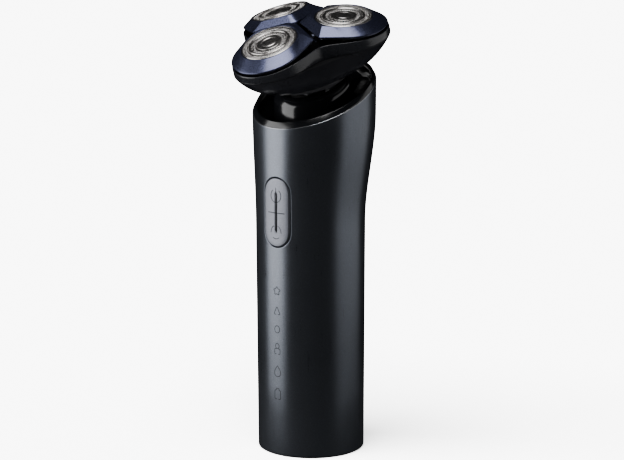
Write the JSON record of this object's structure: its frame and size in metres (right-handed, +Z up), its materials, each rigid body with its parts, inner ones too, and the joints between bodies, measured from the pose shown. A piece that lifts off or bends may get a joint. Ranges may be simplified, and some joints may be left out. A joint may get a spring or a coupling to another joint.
{
  "type": "rotary electric shaver",
  "caption": "Upright rotary shaver: slim round handle with a slanted neck, front rocker button and a floating head with tilted cutters driven through gears.",
  "frame": {"origin": "centre of the charging port's mouth, in the base's flat face, on the handle's axis", "axes": "+Z up along the handle, -Y towards the front, where the button is, +X to the right of the button seen from behind"},
  "size_m": [0.06, 0.0611, 0.1654],
  "materials": {
    "slate_metal": "anodised, satin with a fine sparkle",
    "button_metal": "anodised, satin",
    "black_gloss": "piano black",
    "housing_gloss": "glossy black",
    "dark_plastic": "moulded",
    "navy_metallic": "metallic lacquer",
    "retainer_plastic": "moulded",
    "foil_steel": "fine circular grain",
    "blade_steel": "ground",
    "carrier_plastic": "moulded",
    "gear_plastic": "natural acetal",
    "bright_steel": "plated",
    "spring_steel": "drawn wire",
    "coupler_steel": "sintered",
    "motor_steel": "plated can",
    "motor_cap": "moulded",
    "nickel_strip": "nickel strip",
    "cell_wrap": "shrink wrap",
    "board_green": "solder mask",
    "switch_white": "moulded",
    "guide_clear": "milky",
    "black_rubber": "moulded",
    "red_rubber": "moulded"
  },
  "bodies": {
    "handle": {"body_sleeve": "slate_metal", "rim_ring": "black_gloss", "neck_shroud": "black_gloss", "neck_pedestal": "black_gloss", "neck_post": "dark_plastic", "shaft_seal": "black_rubber", "centring_cushion": "black_rubber", "motor_can": "motor_steel", "motor_end_cap": "motor_cap", "motor_bracket": "dark_plastic", "inner_frame": "dark_plastic", "battery_cell": "cell_wrap", "battery_tabs": "nickel_strip", "circuit_board": "board_green", "frame_screws": "bright_steel", "usb_receptacle": "motor_steel", "tact_switches": "switch_white", "indicator_leds": "switch_white", "light_guide": "guide_clear", "button_bracket": "dark_plastic", "button_pin": "bright_steel", "button_seal": "black_rubber", "base_cap": "dark_plastic", "base_seal": "red_rubber", "base_screws": "bright_steel"},
    "rotor": {"motor_shaft": "bright_steel", "drive_coupler": "coupler_steel"},
    "rocker": {"rocker_button": "button_metal"},
    "gimbal": {"gimbal_ring": "coupler_steel", "gimbal_pins": "bright_steel"},
    "head": {"head_base": "housing_gloss", "head_skirt": "dark_plastic", "head_yoke": "dark_plastic", "gearbox_cover": "dark_plastic", "head_screws": "bright_steel", "base_magnets": "bright_steel"},
    "sun": {"sun_gear": "gear_plastic"},
    "lid": {"head_band": "housing_gloss", "lid_deck": "dark_plastic", "lid_magnets": "bright_steel", "petal_springs": "spring_steel"},
    "planet_1": {"planet_gear_1": "gear_plastic"},
    "petal_1": {"petal_frame_1": "navy_metallic", "foil_retainer_1": "retainer_plastic", "foil_cap_1": "foil_steel"},
    "cutter_1": {"cutter_blade_1": "blade_steel", "cutter_carrier_1": "carrier_plastic"},
    "planet_2": {"planet_gear_2": "gear_plastic"},
    "petal_2": {"petal_frame_2": "navy_metallic", "foil_retainer_2": "retainer_plastic", "foil_cap_2": "foil_steel"},
    "cutter_2": {"cutter_blade_2": "blade_steel", "cutter_carrier_2": "carrier_plastic"},
    "planet_3": {"planet_gear_3": "gear_plastic"},
    "petal_3": {"petal_frame_3": "navy_metallic", "foil_retainer_3": "retainer_plastic", "foil_cap_3": "foil_steel"},
    "cutter_3": {"cutter_blade_3": "blade_steel", "cutter_carrier_3": "carrier_plastic"}
  },
  "joints": [
    {"name": "motor_spin", "type": "hinge", "parent": "handle", "child": "rotor", "pos_m": [0, 0, 0.12], "axis": [0, 0, 1], "continuous": true},
    {"name": "rocker_tilt", "type": "hinge", "parent": "handle", "child": "rocker", "pos_m": [0, -0.0162, 0.0915], "axis": [1, 0, 0], "range_deg": [-2.2, 2.2], "stiffness_Nm_per_rad": 1.2},
    {"name": "head_pitch", "type": "hinge", "parent": "handle", "child": "gimbal", "pos_m": [0, 0, 0.13824], "axis": [1, 0, 0], "range_deg": [-5, 5], "stiffness_Nm_per_rad": 0.45},
    {"name": "head_roll", "type": "hinge", "parent": "gimbal", "child": "head", "pos_m": [0, 0, 0.13824], "axis": [0, 0.9432, 0.3322], "range_deg": [-5, 5], "stiffness_Nm_per_rad": 0.45},
    {"name": "sun_spin", "type": "hinge", "parent": "head", "child": "sun", "pos_m": [0, 0, 0.13824], "axis": [0, -0.3322, 0.9432], "continuous": true},
    {"name": "lid_lift", "type": "slide", "parent": "head", "child": "lid", "axis": [0, -0.3322, 0.9432], "range_m": [0, 0.03]},
    {"name": "planet_1_spin", "type": "hinge", "parent": "head", "child": "planet_1", "pos_m": [0, -0.01528, 0.13286], "axis": [0, -0.3322, 0.9432], "continuous": true},
    {"name": "petal_1_rock", "type": "hinge", "parent": "lid", "child": "petal_1", "pos_m": [0, -0.01256, 0.15336], "axis": [-1, 0, 0], "range_deg": [-2, 0], "stiffness_Nm_per_rad": 0.2, "springref_deg": 2.86},
    {"name": "cutter_1_spin", "type": "hinge", "parent": "petal_1", "child": "cutter_1", "pos_m": [0, -0.02358, 0.15358], "axis": [0, -0.4909, 0.8712], "continuous": true},
    {"name": "planet_2_spin", "type": "hinge", "parent": "head", "child": "planet_2", "pos_m": [0.01403, 0.00764, 0.14093], "axis": [0, -0.3322, 0.9432], "continuous": true},
    {"name": "petal_2_rock", "type": "hinge", "parent": "lid", "child": "petal_2", "pos_m": [0.00591, -0.00291, 0.15676], "axis": [0.5, -0.8169, -0.2877], "range_deg": [-2, 0], "stiffness_Nm_per_rad": 0.2, "springref_deg": 2.86},
    {"name": "cutter_2_spin", "type": "hinge", "parent": "petal_2", "child": "cutter_2", "pos_m": [0.01485, 0.00068, 0.16212], "axis": [0.1504, -0.2452, 0.9577], "continuous": true},
    {"name": "planet_3_spin", "type": "hinge", "parent": "head", "child": "planet_3", "pos_m": [-0.01403, 0.00764, 0.14093], "axis": [0, -0.3322, 0.9432], "continuous": true},
    {"name": "petal_3_rock", "type": "hinge", "parent": "lid", "child": "petal_3", "pos_m": [-0.00591, -0.00291, 0.15676], "axis": [0.5, 0.8169, 0.2877], "range_deg": [-2, 0], "stiffness_Nm_per_rad": 0.2, "springref_deg": 2.86},
    {"name": "cutter_3_spin", "type": "hinge", "parent": "petal_3", "child": "cutter_3", "pos_m": [-0.01485, 0.00068, 0.16212], "axis": [-0.1504, -0.2452, 0.9577], "continuous": true}
  ],
  "couplings": [
    {"joint": "sun_spin", "follows": "motor_spin", "ratio": 1},
    {"joint": "planet_1_spin", "follows": "motor_spin", "ratio": -0.92857},
    {"joint": "cutter_1_spin", "follows": "motor_spin", "ratio": -0.92857},
    {"joint": "planet_2_spin", "follows": "motor_spin", "ratio": -0.92857},
    {"joint": "cutter_2_spin", "follows": "motor_spin", "ratio": -0.92857},
    {"joint": "planet_3_spin", "follows": "motor_spin", "ratio": -0.92857},
    {"joint": "cutter_3_spin", "follows": "motor_spin", "ratio": -0.92857}
  ]
}
